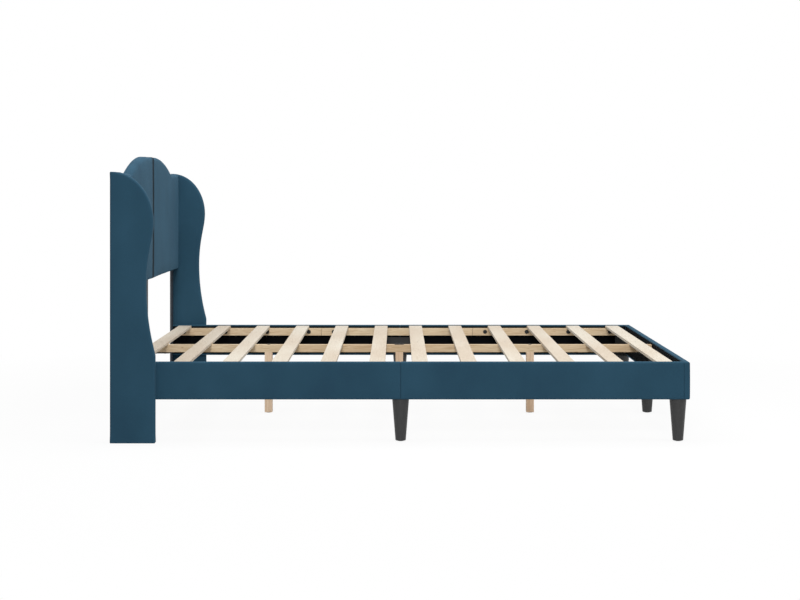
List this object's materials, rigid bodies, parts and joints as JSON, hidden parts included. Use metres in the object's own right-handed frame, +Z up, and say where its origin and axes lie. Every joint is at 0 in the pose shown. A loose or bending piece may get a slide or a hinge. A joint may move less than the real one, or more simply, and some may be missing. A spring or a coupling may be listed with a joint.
{
  "type": "wingback bed",
  "caption": "Velvet platform bed with an arched, padded headboard between curved wings, pine slats on ledgers and a centre rail, and round tapered black legs.",
  "frame": {"origin": "on the floor, under the middle of the bed's length and width", "axes": "+X from the headboard to the foot, +Y across the bed to the far side in the picture, +Z up"},
  "size_m": [2.108, 1.65, 1.049],
  "materials": {
    "velvet": "short-pile velvet over thin foam, teal blue",
    "black_lining": "matt black non-woven sheet",
    "pine": "planed, unfinished pine",
    "panel_board": "raw plywood",
    "dark_leg_board": "matt blue-black paint",
    "black_wood": "black stain, satin",
    "black_steel": "black powder coat",
    "black_glide": "moulded black plastic"
  },
  "bodies": {
    "root": {"headboard_board_left": "panel_board", "headboard_board_right": "panel_board", "headboard_pad_left": "velvet", "headboard_pad_right": "velvet", "headboard_back_lining": "black_lining", "headboard_leg_left": "dark_leg_board", "headboard_leg_centre": "dark_leg_board", "headboard_leg_right": "dark_leg_board", "headboard_bolts": "black_steel", "wing_core_left": "panel_board", "wing_core_right": "panel_board", "wing_cover_left": "velvet", "wing_cover_right": "velvet", "side_rail_board_left_head": "panel_board", "side_rail_cover_left_head": "velvet", "side_rail_board_left_foot": "panel_board", "side_rail_cover_left_foot": "velvet", "side_rail_board_right_head": "panel_board", "side_rail_cover_right_head": "velvet", "side_rail_board_right_foot": "panel_board", "side_rail_cover_right_foot": "velvet", "foot_rail_board": "panel_board", "foot_rail_cover": "velvet", "rail_linings": "black_lining", "ledger_left_1": "pine", "ledger_left_2": "pine", "ledger_left_3": "pine", "ledger_right_1": "pine", "ledger_right_2": "pine", "ledger_right_3": "pine", "ledger_bolts": "black_steel", "slat_01": "pine", "slat_02": "pine", "slat_03": "pine", "slat_04": "pine", "slat_05": "pine", "slat_06": "pine", "slat_07": "pine", "slat_08": "pine", "slat_09": "pine", "slat_10": "pine", "slat_11": "pine", "slat_12": "pine", "slat_screws": "black_steel", "centre_rail_head": "pine", "centre_rail_foot": "pine", "centre_leg_head": "pine", "centre_leg_middle": "pine", "centre_leg_foot": "pine", "centre_rail_bolts": "black_steel", "centre_rail_brackets": "black_steel", "joining_plates": "black_steel", "rail_brackets": "black_steel", "rail_bolts": "black_steel", "leg_left_middle": "black_wood", "leg_right_middle": "black_wood", "leg_left_foot": "black_wood", "leg_right_foot": "black_wood", "leg_foot_centre": "black_wood", "leg_glides": "black_glide"}
  },
  "joints": []
}
